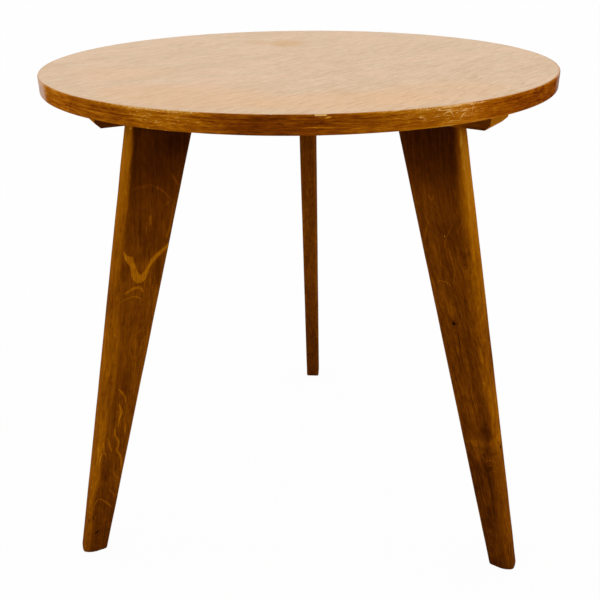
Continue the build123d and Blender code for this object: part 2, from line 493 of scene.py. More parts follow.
# Marks are (strength, half width, line); a line that crosses the board is [(across, height)], one that
# follows the grain is [(height, across)], both in millimetres from the board's middle and from the floor
leftLeg = {
    "nearSide": 1,
    "seed": (3.0, 7.0, 1.0),
    "grainShift": [(0, -42), (160, -32.5), (230, -28), (340, -21), (435, -11), (510, 0), (579, 10)],
    # the broad faces' stain level by height; its fall towards the top is painted shade under the tabletop
    "broad": [
        (0, 0.36), (40, 0.37), (60, 0.39), (90, 0.41), (120, 0.45), (180, 0.45), (240, 0.47), (330, 0.475),
        (390, 0.465), (420, 0.445), (450, 0.425), (470, 0.43), (490, 0.40), (510, 0.35), (530, 0.31),
        (550, 0.28), (579, 0.25),
    ],
    # the outer strip's level by height, partly painted side light; its dip at the very top is painted shadow
    # of the band
    "gold": [
        (0, 0.42), (20, 0.48), (60, 0.525), (90, 0.54), (120, 0.59), (180, 0.60), (240, 0.56), (300, 0.56),
        (330, 0.57), (362, 0.49), (390, 0.55), (430, 0.57), (470, 0.62), (510, 0.655), (550, 0.70),
        (579, 0.62),
    ],
    "goldEdge": [
        (0, 6), (40, 7), (75, 5), (110, 8), (150, 9), (200, 12.5), (260, 16), (300, 16.5), (345, 12.5),
        (385, 11.5), (405, 8), (470, 8), (520, 7), (550, 6), (579, 3.5),
    ],
    "goldSoft": 2.8,
    "lively": [(0, 1.15), (330, 1.05), (420, 1.0), (500, 0.7), (579, 0.6)],
    "streakShare": 0.8,
    "crossing": [
        (0.22, 0, [
            (23.2, 427.5, 0.8), (20.6, 422.5, 1.7), (17.5, 418.5, 2.8), (12, 413.5, 3.4), (8.5, 403, 4.0),
            (4.5, 397, 4.4), (0.8, 392, 4.6), (-2.2, 390.6, 5.0), (-5.5, 393, 4.6), (-9.5, 399, 3.4),
            (-11.2, 405.5, 2.6), (-15, 412.5, 2.6), (-20, 417.5, 2.6), (-25, 422, 2.4), (-31, 427, 2.0),
        ]),
        (0.15, 1.7, [(-8.5, 373), (-5.5, 377.5), (0, 380), (6, 379), (14, 375)]),
        (0.13, 0.65, [(-9.5, 361), (-5, 366), (2.8, 368.9), (11, 367.8), (19.3, 364.5)]),
        (0.11, 0.75, [(-25.3, 482.5), (-19.4, 489.5), (-12.4, 496), (-5.8, 500), (2.9, 504.5)]),
        (0.055, 2.0, [(4, 505), (10, 503.5), (18, 503), (24, 501.5), (27, 498)]),
        (0.07, 1.0, [(-25, 482.2), (-22, 479.8), (-17.5, 477.6)]),
        (0.06, 0.5, [(-2, 315.7), (-7, 317), (-12, 321), (-18.5, 329)]),
        (0.14, 0.8, [(15, 141), (13.6, 152), (11.1, 157), (7, 152), (2.4, 137)]),
        (0.14, 0.85, [(-14, 65.5), (-6.1, 75), (1.7, 82.9), (7.6, 86.5), (11.4, 83.5), (14, 72)]),
        (0.10, 0.8, [(-14.6, 85), (-8.6, 92.8), (-2.7, 100)]),
        (0.10, 0.9, [(-15, 110.5), (-10, 117.5), (-5.9, 124)]),
        (0.10, 0.6, [(16.5, 319.5), (19, 322.5), (21.5, 325)]),
        (0.12, 0.55, [(-5.6, 15.5), (-4.4, 15.2), (-3.2, 13.5)]),
        (0.16, 0.45, [(15.2, 13.2), (16.5, 15.5), (18.3, 16.4)]),
    ],
    "following": [
        (0.12, 1.0, [(499, -32), (507.5, -25.6), (514.5, -21)]),
        (0.10, 0, [(456, -4.2, 1.0), (460, -3.9, 2.0), (464, -3.4, 1.8), (468, -2.6, 0.8)]),
        (0.06, 0.6, [(446, -4.8), (450, -4.5), (455, -4.2)]),
        (0.10, 0.9, [(437, -27.4), (452, -29.4), (468, -29.0), (482, -30)]),
        (0.10, 0.8, [(286, -16.4), (297, -17.2), (304, -17), (313, -20.8)]),
        (0.08, 0.7, [(290, -21.4), (300, -21.2), (311, -20.5)]),
        (0.08, 1.1, [(285, -23.6), (305, -23.2), (326, -22.6)]),
        (0.17, 1.25, [(224, -8.6), (231, -6.8), (238, -3.2), (247, 4.2)]),
        (0.18, 1.4, [(191, -3), (202.5, -3.2), (211, -5), (217, -3.2), (224, -0.2)]),
        (0.15, 1.1, [(178, -14.4), (185, -13.6), (193.5, -12.8)]),
        (0.17, 1.25, [
            (122, -17), (137, -15.4), (147.5, -12.2), (158, -6.6), (164, -7.8), (174, -4.4), (183, -0.2),
            (190, 0.2),
        ]),
        (0.15, 1.2, [(154.5, -0.4), (165, 3.6), (178, 8.2)]),
        (0.14, 1.1, [(157, 10.4), (165, 11.6), (174, 13.4)]),
        (0.09, 0.7, [(58, 8), (66, 14.7), (74, 21.4)]), (0.07, 0.6, [(278, 0.1), (293, 1)]),
        (0.07, 0.6, [(275, -9.8), (284, -7.6), (294, -5.2)]),
        (0.07, 0.7, [(262, 20.2), (276, 19.6), (292, 20.8)]),
        (-0.13, 0.6, [(374, 31.9), (383, 32.4), (393.5, 33.6)]),
        (-0.13, 0.9, [(355, 31.2), (360, 31.9), (366, 32.4)]),
        (-0.13, 0.9, [(55, 10.9), (61, 11.7), (66, 12.4)]),
        (-0.05, 2.2, [(180, 10), (215, 12.5), (250, 15.5), (290, 17)]),
        (-0.05, 1.8, [(440, 6), (452, 7), (470, 9)]),
    ],
    "spots": [
        (0.09, (-27.6, 441), (2.2, 5.5)), (0.18, (35.6, 571.8), (1.6, 2.4)),
        (0.05, (20.8, 448), (2.6, 4.5)), (-0.24, (3.8, 33.6), (4.8, 1.8), -38), (0.07, (-6, 406), (7, 11)),
        (-0.05, (19, 402), (7, 17)), (-0.05, (-21, 398), (7, 20)), (-0.03, (-2, 440), (16, 12)),
        (-0.05, (-6, 262), (9, 40)), (-0.05, (4, 205), (4, 22)), (-0.05, (3, 130), (8, 24)),
        (0.04, (16, 553), (15, 24)), (-0.04, (-20, 553), (18, 26)),
    ],
    "outerSpots": [(0.12, (7.0, 13.0), (2.6, 1.4), 20)],
    "outerGain": [(0, 0.0), (100, -0.02), (150, -0.045), (230, -0.03), (300, 0.0), (579, -0.01)],
    "innerGain": [(0, 0.02), (60, 0.02), (120, 0.05), (579, 0.05)],
}

rightLeg = {
    "nearSide": -1,
    "seed": (11.0, 2.0, 5.0),
    "grainShift": [(0, 44), (150, 39), (250, 31), (342, 20), (436, 6), (490, 1), (579, 8)],
    # the broad faces' stain level by height; its fall towards the top is painted shade under the tabletop
    "broad": [
        (0, 0.315), (60, 0.36), (90, 0.365), (120, 0.345), (142, 0.33), (175, 0.415), (200, 0.40),
        (240, 0.44), (270, 0.42), (310, 0.395), (360, 0.44), (390, 0.445), (450, 0.435), (490, 0.42),
        (510, 0.37), (530, 0.31), (550, 0.27), (579, 0.23),
    ],
    # the outer strip's level by height, partly painted side light; its dip at the very top is painted shadow
    # of the band
    "gold": [
        (0, 0.37), (60, 0.43), (100, 0.47), (150, 0.49), (200, 0.535), (250, 0.56), (290, 0.52),
        (330, 0.51), (360, 0.57), (390, 0.595), (430, 0.58), (480, 0.62), (530, 0.625), (550, 0.65),
        (579, 0.58),
    ],
    "goldEdge": [
        (0, 8), (60, 8), (120, 6), (180, 6), (215, 4), (250, 7), (300, 9), (350, 8), (420, 7.4), (490, 9),
        (530, 6.5), (555, 4.5), (579, 2),
    ],
    "goldSoft": 6.2,
    "lively": [(0, 1.2), (380, 1.2), (450, 1.05), (510, 0.75), (579, 0.65)],
    "streakShare": 1.0,
    "crossing": [
        (0.14, 0.6, [
            (-20.2, 390.9), (-15, 392.4), (-9.8, 392.2), (-6.1, 391), (-3.2, 387.5), (-1, 383),
        ]),
        (0.12, 0.9, [(-13.6, 494.5), (-11.8, 491.5), (-9.6, 489), (-7.2, 491.5), (-5.3, 495.5)]),
        (0.09, 0.6, [(2, 158), (8, 163.5), (15, 165.5), (20, 163)]),
        (0.09, 0.6, [(5, 152), (9, 156.5), (14, 158.5), (19, 156.5)]),
        (0.07, 0.6, [(7, 146), (10.5, 149.5), (14, 151), (18, 149)]),
        (0.07, 0.7, [(8.5, 118), (11, 123), (14.5, 124.5), (17.5, 121)]),
        (0.13, 0.6, [(17.8, 273.6), (20.3, 271.6), (23, 275.6)]),
        (0.16, 0.5, [(27.6, 327.8), (30.5, 330.8), (33.6, 334.4)]),
        (0.055, 4.4, [(-18, 181), (-6, 183), (6, 185.5), (17, 190)]),
        (-0.06, 2.6, [(0, 169), (6, 171), (13, 174), (20, 177)]),
        (-0.05, 1.0, [(-14.5, 349), (-11, 345.5), (-7, 345), (-3, 348.5)]),
    ],
    "following": [
        (0.09, 0.6, [(462.7, -3.1), (470, -2.6), (477, -5.9), (482.6, -12.7)]),
        (0.08, 0.6, [(462.8, -20.3), (472.3, -22.5), (479.2, -26), (484.7, -30.6)]),
        (0.06, 0.5, [(466.4, -13.2), (473.3, -13.2), (479.8, -15.8)]),
        (0.06, 0.5, [(464.4, 19.7), (473.3, 18.2), (479.3, 13.8)]),
        (0.12, 0.5, [(434, -3.9), (445, 0.6), (455.2, 6), (465.5, 12.5)]),
        (0.12, 0.6, [(439, -27.4), (452.3, -23.4), (464.5, -17.6)]),
        (0.09, 0.5, [(453, 14.8), (462, 19.5), (470.5, 24.5)]),
        (0.07, 1.0, [(402, -12.2), (418, -11.2), (437, -9.7)]),
        (0.08, 0.8, [(387, 0), (396, 1.6), (405.5, 4.2)]),
        (0.08, 0.8, [(345, 3.2), (356, 4.2), (367.8, 5.6)]),
        (0.06, 0.8, [(363, 17.1), (370, 17.8), (378.5, 19.1)]),
        (0.09, 1.6, [(350, -6.6), (362, -6.8), (375, -6)]),
        (0.06, 1.4, [(300, -9), (315, -7.5), (332, -10.5)]),
        (-0.12, 0.9, [(306, -4.8), (326, -4.2), (340.5, -5.4)]),
        (0.07, 0.6, [(40, 2.6), (58, 3.6), (78, 4.6)]), (0.05, 0.8, [(222, -14), (245, -11), (268, -12)]),
        (0.05, 0.8, [(236, 3), (252, 1), (270, 2.5)]),
        (0.16, 0.9, [(553, 36.4), (563, 37.6), (574.5, 38.8)]),
        (0.05, 2.4, [(300, 20.4), (307, 21.4), (330, 18.5)]),
        (-0.05, 2.6, [(150, 4), (170, 9), (195, 12), (218, 13)]),
        (-0.05, 2.0, [(60, 2), (90, 5), (120, 6), (150, 6)]),
        (-0.04, 2.0, [(230, 0), (280, 6), (330, 10), (380, 12)]),
    ],
    "spots": [
        (0.50, (-0.5, 448.7), (0.9, 0.9)), (-0.40, (-7.8, 340.8), (2.7, 2.3)),
        (-0.10, (-6.0, 341.5), (5.5, 4.0)), (0.05, (-9.5, 487), (4.0, 7.0)), (-0.03, (8, 452), (16, 22)),
        (-0.18, (26.7, 229.7), (1.2, 1.4)), (-0.16, (33.4, 414), (1.6, 2.4)), (-0.08, (12, 203), (11, 12)),
        (0.08, (21.4, 304.9), (3.0, 9)), (0.03, (-22, 300), (5, 60)), (0.04, (21, 193), (9, 9)),
        (-0.05, (7, 156), (10, 12)),
    ],
    "outerSpots": [
        (-0.34, (3.9, 190.4), (2.2, 1.8), -35), (-0.42, (-1.2, 181.6), (2.2, 3.4)),
        (0.06, (0, 195), (9, 16)),
    ],
    "outerGain": [
        (0, 0.02), (100, 0.0), (200, 0.0), (235, 0.045), (300, 0.0), (400, 0.01), (480, 0.07), (545, 0.09),
        (579, 0.06),
    ],
    "innerGain": [(0, -0.1), (40, -0.06), (100, 0.04), (579, 0.05)],
}

rearLeg = {
    "nearSide": 1,
    "seed": (5.0, 13.0, 9.0),
    "grainShift": [(0, -18), (200, -8), (400, 0), (579, 6)],
    # the broad faces' stain level by height; its fall towards the top is painted shade under the tabletop
    "broad": [
        (0, 0.345), (60, 0.35), (140, 0.385), (280, 0.44), (430, 0.425), (510, 0.37), (550, 0.275),
        (579, 0.22),
    ],
    # the outer strip's level by height, partly painted side light
    "gold": [(0, 0.38), (100, 0.43), (300, 0.47), (500, 0.5), (579, 0.48)],
    "goldEdge": [(0, 6), (200, 8), (400, 9), (579, 6)],
    "goldSoft": 4.0,
    "lively": [(0, 1.0), (579, 0.9)],
    "streakShare": 1.0,
    "crossing": [],
    "following": [],
    "spots": [(0.07, (-22, 430), (9, 60)), (-0.05, (-20, 330), (9, 40))],
    "outerSpots": [],
    "outerGain": [(0, 0.0), (579, 0.0)],
    "innerGain": [(0, 0.05), (579, 0.05)],
}


def betweenEnds(shape, side, share):
    # a leg's inner or outer edge, from the foot at share 0 to the top at share 1
    foot, top = shape["foot" + side], shape["top" + side]
    return foot + (top - foot) * share


def legRing(shape, height, seed):
    share = height * mm / (legHigh.z - legLow.z)
    rounds = (shape["footRound"], shape["toeRound"])
    inset, toe = (size - math.sqrt(size ** 2 - max(size - height, 0.0) ** 2) for size in rounds)
    outer = betweenEnds(shape, "Outer", share) - toe
    inner = betweenEnds(shape, "Inner", share) + inset
    half = (legHigh.x - legLow.x) / mm / 2 - inset
    wide, deep, reach = shape["toeEase"]
    extra = max(0.0, 1 - height / reach) ** 2
    vary, length, apart = shape["easeWander"]
    least = shape["leastEase"]
    corners = [(outer, half), (inner, half), (inner, -half), (outer, -half)]
    arcs = []
    for number, (x, y) in enumerate(corners):
        ease = "innerEase" if x == inner else "outerEase"
        wander = 1 + vary * noise.noise(Vector((height / length, number * apart, 0)) + Vector(seed))
        across, through, fullness = shape[ease]
        gain = extra if ease == "outerEase" else 0.0
        across = max(across * wander - inset, least) + wide * gain
        through = min(max(through * wander - inset, least) + deep * gain, half - 0.1)
        middle = (x - math.copysign(across, x - (outer + inner) / 2), y - math.copysign(through, y))
        steps = shape["arrisSteps"][ease]
        arc = []
        for step in range(steps + 1):
            angle = math.radians(90 * (number + step / steps))
            cos, sin = math.cos(angle), math.sin(angle)
            cos, sin = (math.copysign(abs(value) ** (2 / fullness), value) for value in (cos, sin))
            arc.append((middle[0] + across * cos, middle[1] + through * sin))
        arcs.append(arc)
    ring = []
    for arc, following, steps in zip(arcs, arcs[1:] + arcs[:1], shape["faceSteps"]):
        ring += arc
        (x0, y0), (x1, y1) = arc[-1], following[0]
        ring += [(x0 + (x1 - x0) * n / steps, y0 + (y1 - y0) * n / steps) for n in range(1, steps)]
    return [(x, y, height) for x, y in ring]


def buildLeg(name, look, shape):
    tall = (legHigh.z - legLow.z) / mm
    low = list(shape["lowRings"])
    count = round((tall - low[-1]) / shape["ringStep"])
    heights = low + [low[-1] + (tall - low[-1]) * (n + 1) / count for n in range(count)]
    wave, length = shape["wave"]
    rings = []
    for height in heights:
        ring = [Vector(point) for point in legRing(shape, height, look["seed"])]
        middle = sum(ring, Vector()) / len(ring)
        if height > shape["footRound"]:
            for place in ring:
                through = (place.y - middle.y) * shape["throughGain"]
                outward = Vector((place.x - middle.x, through, 0)).normalized()
                place += outward * (noise.noise(place / length + Vector(look["seed"])) * wave)
        rings.append([place * mm for place in ring])
    mesh = meshFromRings("leg_" + name + "_wood", rings, capped=True)
    turned = Matrix.Rotation(math.radians(legAzimuths[name]), 4, "Z")
    place = Matrix.Translation((tableAxis.x, tableAxis.y, 0)) @ turned
    material = legMaterial(name, look, shape)
    addPiece("leg_" + name + "_wood", mesh, material, "leg_" + name, place)


def legMarks(board, look, across, height):
    marks = []
    for run, aside, kind in ((across, height, "crossing"), (height, across, "following")):
        for strength, half, line in look[kind]:
            marks.append((strength, board.trail(run, aside, abs(strength), half, line)))
    for strength, *oval in look["spots"]:
        marks.append((strength, board.product(board.spot(across, height, *oval), abs(strength))))
    return board.lightAndDark(marks)


def legMaterial(name, look, shape):
    material, board = newMaterial("leg_" + name + "_stain")
    finish = legFinish
    radial, side, height = board.parts(millimetres(board))
    tall = (legHigh.z - legLow.z) / mm
    thick = (legHigh.x - legLow.x) / mm
    inner, outer = ([betweenEnds(shape, edge, share) for share in (0, 1)] for edge in ("Inner", "Outer"))
    middle = board.remap(height, 0.0, tall, *((far + near) / 2 for near, far in zip(inner, outer)))
    halfWidth = board.remap(height, 0.0, tall, *((far - near) / 2 for near, far in zip(inner, outer)))
    across = board.minus(radial, middle)
    depth = board.minus(halfWidth, across)
    turned = board.product(side, look["nearSide"])
    near = board.soft(turned, *finish["markFace"])

    # the outer face and a strip beside it are painted lighter: partly less stain, partly painted light from
    # the side lamps
    plain = board.joined(across, side, height)
    ragged = board.swing(board.cloud(plain, *finish["ragged"]), finish["raggedSwing"])
    edge = board.product(board.along(height, look, "goldEdge"), -1.0)
    golden = board.soft(board.total(depth, ragged, edge), look["goldSoft"], -look["goldSoft"])

    # the grain leans on the broad face and follows the outer arris beside it
    shift = board.along(height, look, "grainShift")
    lean = board.total(shift, board.product(golden, board.minus(halfWidth, shift)))
    place = board.joined(board.minus(across, lean), side, height)
    grain, pores, swing = stainedGrain(board, place, look["seed"], look["streakShare"])
    swing = board.product(swing, board.along(height, look, "lively"))

    # the broad faces' level, darkened towards the top as painted shade under the tabletop
    broad = board.along(height, look, "broad")
    # the outer strip's level: partly less stain, partly painted side light and, at the top, painted shadow of
    # the band
    gold = board.along(height, look, "gold")
    level = board.total(broad, board.product(golden, board.minus(gold, broad)), swing)

    light, dark = legMarks(board, look, across, height)
    broken = board.soft(grain["fibre"], *finish["broken"])
    level = board.total(level, board.product(light, near, broken), board.product(dark, near, -1.0))
    gain = board.product(board.soft(depth, *finish["outerFade"]), board.along(height, look, "outerGain"))
    level = board.total(level, gain)
    outside = board.soft(depth, *finish["outsideFade"])
    for strength, *oval in look["outerSpots"]:
        level = board.total(level, board.product(board.spot(turned, height, *oval), outside, strength))

    # rubbed arrises, and inner arrises with a level of their own
    sideDepth = board.minus(thick / 2, board.size(side))
    innerDepth = board.minus(board.product(halfWidth, 2.0), depth)
    arris = board.soft(board.total(depth, sideDepth), *finish["outerArris"])
    innerArris = board.soft(board.total(innerDepth, sideDepth), *finish["innerArris"])
    rubbing = board.soft(board.cloud(plain, *finish["rubbing"]), *finish["rubbed"])
    rubbed = board.product(board.highest(arris, innerArris), rubbing)
    own = board.product(innerArris, board.along(height, look, "innerGain"))
    level = board.total(level, rubbed, own)

    roughness = board.remap(board.total(grain["fibre"], grain["patch"]), *finish["roughness"])
    relief = board.minus(board.product(grain["fibre"], finish["fibreRelief"]), pores)
    colour = board.ramp(level, stainedOak["depths"])
    board.finish(colour, roughness, board.bump(relief, *finish["relief"]), stainedOak["satin"])
    return material


for legName, legLook in {"left": leftLeg, "right": rightLeg, "rear": rearLeg}.items():
    buildLeg(legName, legLook, legShape)
    print("leg", legName, "made")


# Edge band: a stained lipping bent round the panel
bandShape = {
    "thickness": 2.2,
    "round": 1.3,
    "segments": 960,
    "wander": (0.35, 0.6, 14),  # share of the rounding, the lower arris' part of it, and how often
    "innerGap": 0.05,
    "innerArris": 0.05,
    "steps": (6, 7, 5),  # down the upper arris, the outer face and the lower arris
    "chipFray": (0.75, 0.25, 0.9),  # the usual share of a chip's depth, how much more or less, and how often
    "chipSide": 0.8,  # how far a chip goes in, as a share of how far it goes down
    "chips": [  # degrees round from the front, length and depth in millimetres
        (7.4, 8.4, 0.9), (8.7, 3.4, 0.35), (-3.0, 4.0, 0.35), (-0.8, 3.0, 0.3), (-21.0, 9.0, 0.4),
        (-30.0, 6.0, 0.45), (31.0, 10.0, 0.4), (27.5, 5.0, 0.35),
    ],
}

bandLook = {
    "clouds": {  # size in millimetres down, through and along the band, as for stainedOak
        "streak": ((1.9, 6, 40), 3.0, 0.62, 0.3),
        "fibre": ((1.0, 3, 11), 2.0, 0.6),
        "pore": ((0.8, 2, 6), 1.0),
        "patch": ((9, 14, 22), 3.0, 0.55, 0.5),
        "hair": ((0.75, 2, 6), 2.0, 0.6, 0.5),
    },
    "crumble": ((1.6, 0.7, 0.7), 2.0, 0.6),  # size along, down and through; breaks up the arrises
    "swings": {"streak": 0.50, "fibre": 0.40, "patch": 0.34},
    "grainSlope": 0.012,  # how far the grain climbs per millimetre along the band
    "poreSpan": (0.60, 0.72),
    "poreDepth": -0.09,
    "raggedSwing": 3.0,
    "upperFade": (3.4, 0.4),  # millimetres from the arris, as is the next
    "lowerFade": (3.0, 0.4),
    "crumbled": (0.35, 0.65, 0.4, 1.9),
    "fleckSpan": (0.59, 0.68),
    "fleckFade": (17, 9),
    "roughness": (0.3, 0.7, 0.34, 0.48),
    "relief": (0.1, -0.4),
    "depths": [
        (0.10, tone(30, 8, 1)), (0.25, tone(64, 24, 1)), (0.36, tone(92, 39, 2)), (0.45, tone(115, 52, 2)),
        (0.52, tone(133, 65, 4)), (0.60, tone(153, 83, 3)), (0.70, tone(179, 107, 8)),
        (0.80, tone(200, 134, 34)), (0.95, tone(240, 196, 128)),
    ],
    "level": [  # stain's depth by degrees round from the front, partly real stain (the darker stretch at the front) and partly painted light: lighter towards the side lamps at about 30 degrees either side and at the far left end
        (-180, 0.55), (-90, 0.57), (-66, 0.71), (-59, 0.70), (-54, 0.63), (-48, 0.645), (-38, 0.57),
        (-30, 0.59), (-22, 0.635), (-14, 0.60), (-7, 0.505), (-2, 0.475), (4, 0.475), (9, 0.53),
        (15, 0.585), (26, 0.655), (34, 0.70), (40, 0.60), (50, 0.555), (58, 0.54), (73, 0.51), (90, 0.54),
        (180, 0.55),
    ],
    "redder": [
        (-180, 0.3), (-62, 0.2), (-50, 0.6), (-40, 0.3), (-24, 0.0), (30, 0.2), (37, 0.8), (66, 0.8),
        (90, 0.5), (180, 0.3),
    ],
    "redTint": (1.0, 0.84, 0.75, 1.0),
    "wornArrisAndHighlight": [  # how much lighter the upper arris is, partly wear and partly painted highlight
        (-180, 0.06), (-60, 0.06), (-40, 0.08), (-26, 0.14), (-14, 0.14), (-9, 0.05), (0, 0.03), (12, 0.04),
        (20, 0.10), (28, 0.17), (36, 0.14), (44, 0.08), (66, 0.12), (90, 0.08), (180, 0.06),
    ],
    "flecks": [  # how strong the short pale flecks are, partly scratches and partly painted glints
        (-180, 0.06), (-50, 0.06), (-30, 0.10), (-25, 0.20), (-15, 0.18), (-9, 0.06), (10, 0.05),
        (20, 0.14), (30, 0.24), (37, 0.20), (42, 0.10), (60, 0.08), (180, 0.06),
    ],
    # how much lighter the lower arris is, partly wear and partly painted highlight
    "wornLowerAndHighlight": [
        (-180, 0.02), (-60, 0.02), (10, -0.02), (18, 0.03), (26, 0.08), (50, 0.08), (62, 0.02), (180, 0.02),
    ],
    "marks": [  # strength, half width in millimetres, [(degrees, millimetres below the top)]; the pale marks are partly wear and partly painted glints
        (0.24, 0.45, [(-23.6, 6.8), (-22.1, 6.0)]), (0.20, 0.4, [(-23.0, 8.3), (-22.4, 8.1)]),
        (0.20, 0.4, [(-22.9, 11.6), (-22.2, 11.4)]), (0.26, 0.5, [(-21.4, 11.5), (-20.0, 10.8)]),
        (0.26, 0.45, [(-21.2, 14.3), (-19.2, 13.4)]), (0.20, 0.5, [(-18.8, 6.2), (-18.4, 6.0)]),
        (0.20, 0.5, [(-27.6, 15.0), (-27.2, 14.8)]), (0.26, 0.5, [(-23.2, 17.7), (-22.8, 17.6)]),
        (0.26, 0.5, [(-19.6, 18.3), (-19.2, 18.2)]), (0.26, 1.0, [(8.2, 3.4), (8.7, 2.9), (9.1, 2.7)]),
        (0.14, 0.5, [(3.2, 11.4), (7.0, 11.2), (11.4, 12.0)]),
        (0.07, 0.5, [(-1.0, 12.6), (3.0, 12.2), (6.5, 12.9)]),
        (0.28, 0.35, [(24.3, 7.6), (24.8, 8.0), (25.3, 7.5)]),
        (0.24, 0.32, [(27.7, 2.7), (28.8, 3.6), (30.0, 3.6), (31.0, 2.9)]),
        (0.26, 0.35, [(30.4, 4.4), (30.7, 6.2), (31.3, 8.9)]),
        (0.22, 0.32, [(28.6, 7.6), (29.6, 6.2), (30.6, 4.4)]),
        (0.24, 0.35, [(32.2, 5.9), (33.0, 6.3), (34.2, 5.1)]),
        (0.24, 0.35, [(32.8, 12.9), (33.1, 11.0), (33.6, 8.2)]),
        (0.18, 0.35, [(35.3, 10.0), (35.4, 6.0), (35.5, 2.6)]), (0.26, 0.5, [(36.2, 8.7), (36.6, 8.5)]),
        (0.22, 0.5, [(55.2, 14.9), (55.6, 14.7)]),
        (0.16, 0.5, [(-45.0, 17.0), (-44.6, 13.0), (-44.3, 8.8)]),
        (-0.16, 0.7, [(-29.4, 6.7), (-28.6, 6.5)]), (-0.14, 0.8, [(-27.8, 8.8), (-26.0, 8.6)]),
        (-0.14, 0.8, [(-11.3, 7.2), (-10.3, 7.0)]), (-0.10, 0.7, [(-1.0, 3.8), (0.6, 3.5), (1.8, 3.7)]),
        (-0.10, 0.7, [(-0.9, 8.0), (0.5, 7.8), (1.6, 8.0)]),
        (-0.10, 0.6, [(14.0, 5.2), (16.0, 5.0), (18.6, 5.5)]),
    ],
    "bare": [  # pale places on the upper arris: degrees from and to, how far down, and how sure
        (6.5, 8.4, 1.5, 1.0), (-3.9, 0.3, 0.3, 0.3), (-31.0, -14.0, 0.5, 0.45), (26.0, 33.0, 0.6, 0.4),
    ],
    "bareEdge": (0.15, 2.4, 0.25),  # blur in degrees, ragged swing and blur in millimetres
    "bareSure": (0.62, 0.70, 0.4),  # between which noise values it is bare, and how far sureness lowers both
    "bareWood": tone(228, 184, 106),
    "flush": (0.9, (0.7, 1.1), (0.5, 0.2), (0.35, 0.65)),  # the flat top's frayed edge, its spans, its fibres
    "flatTop": tone(216, 176, 134),
    "flatTopDeep": tone(204, 158, 112),
    "shine": [  # how much the varnish mirrors
        (-180, 0.04), (-82, 0.04), (-74, 0.95), (-59, 0.95), (-55.5, 0.02), (-30, 0.03), (30, 0.03),
        (50, 0.01), (67, 0.01), (70.5, 0.5), (78, 0.5), (86, 0.04), (180, 0.04),
    ],
    "satin": {"Specular IOR Level": 0.0, "Coat IOR": 1.25, "Coat Roughness": 0.3},
}


def bandProfile(shape, top, foot, cut):
    # the band's section as (radius, height), with its upper and lower rounding and the depth of a chip
    low, high, outer = topLow.z / mm, topHigh.z / mm, topRadius / mm
    inner = outer - shape["thickness"] + shape["innerGap"]
    upper, middle, lower = shape["steps"]
    profile = [(inner, low), (inner, high - shape["innerArris"])]
    profile += [((inner + outer - top) / 2, high), (outer - top, high)]
    for number in range(1, upper + 1):
        turn = math.radians(90 - 90 * number / upper)
        side = outer - top + top * math.cos(turn) - cut * shape["chipSide"]
        profile.append((side, high - top + top * math.sin(turn) - cut))
    profile += [(outer, high - top - (high - low - top - foot) * n / middle) for n in range(1, middle)]
    for number in range(lower + 1):
        turn = math.radians(-90 * number / lower)
        profile.append((outer - foot + foot * math.cos(turn), low + foot + foot * math.sin(turn)))
    return profile


def buildBand(shape):
    share, lowerShare, often = shape["wander"]
    least, more, fray = shape["chipFray"]
    rings = []
    for number in range(shape["segments"]):
        angle = 2 * math.pi * number / shape["segments"]
        cos, sin = math.cos(angle), math.sin(angle)
        degrees = math.degrees(angle) - (360 if angle > math.pi else 0)  # from the front, anticlockwise
        wander = share * noise.noise(Vector((cos, sin, 0.3)) * often)
        top, foot = (shape["round"] * (1 + gain) for gain in (wander, -wander * lowerShare))
        cut = 0.0
        for place, length, depth in shape["chips"]:
            away = (degrees - place) / math.degrees(length / 2 / (topRadius / mm))
            cut = max(cut, depth * (1 - away ** 4))
        cut *= least + more * noise.noise(Vector((number * fray, 4.0, 1.0)))
        profile = bandProfile(shape, top, foot, cut)
        rings.append([(radius * sin * mm, -radius * cos * mm, height * mm) for radius, height in profile])
    mesh = meshFromRings("edge_band_oak", rings, capped=False)
    place = Matrix.Translation((tableAxis.x, tableAxis.y, 0))
    addPiece("edge_band_oak", mesh, bandMaterial(bandLook), "edge_band", place)


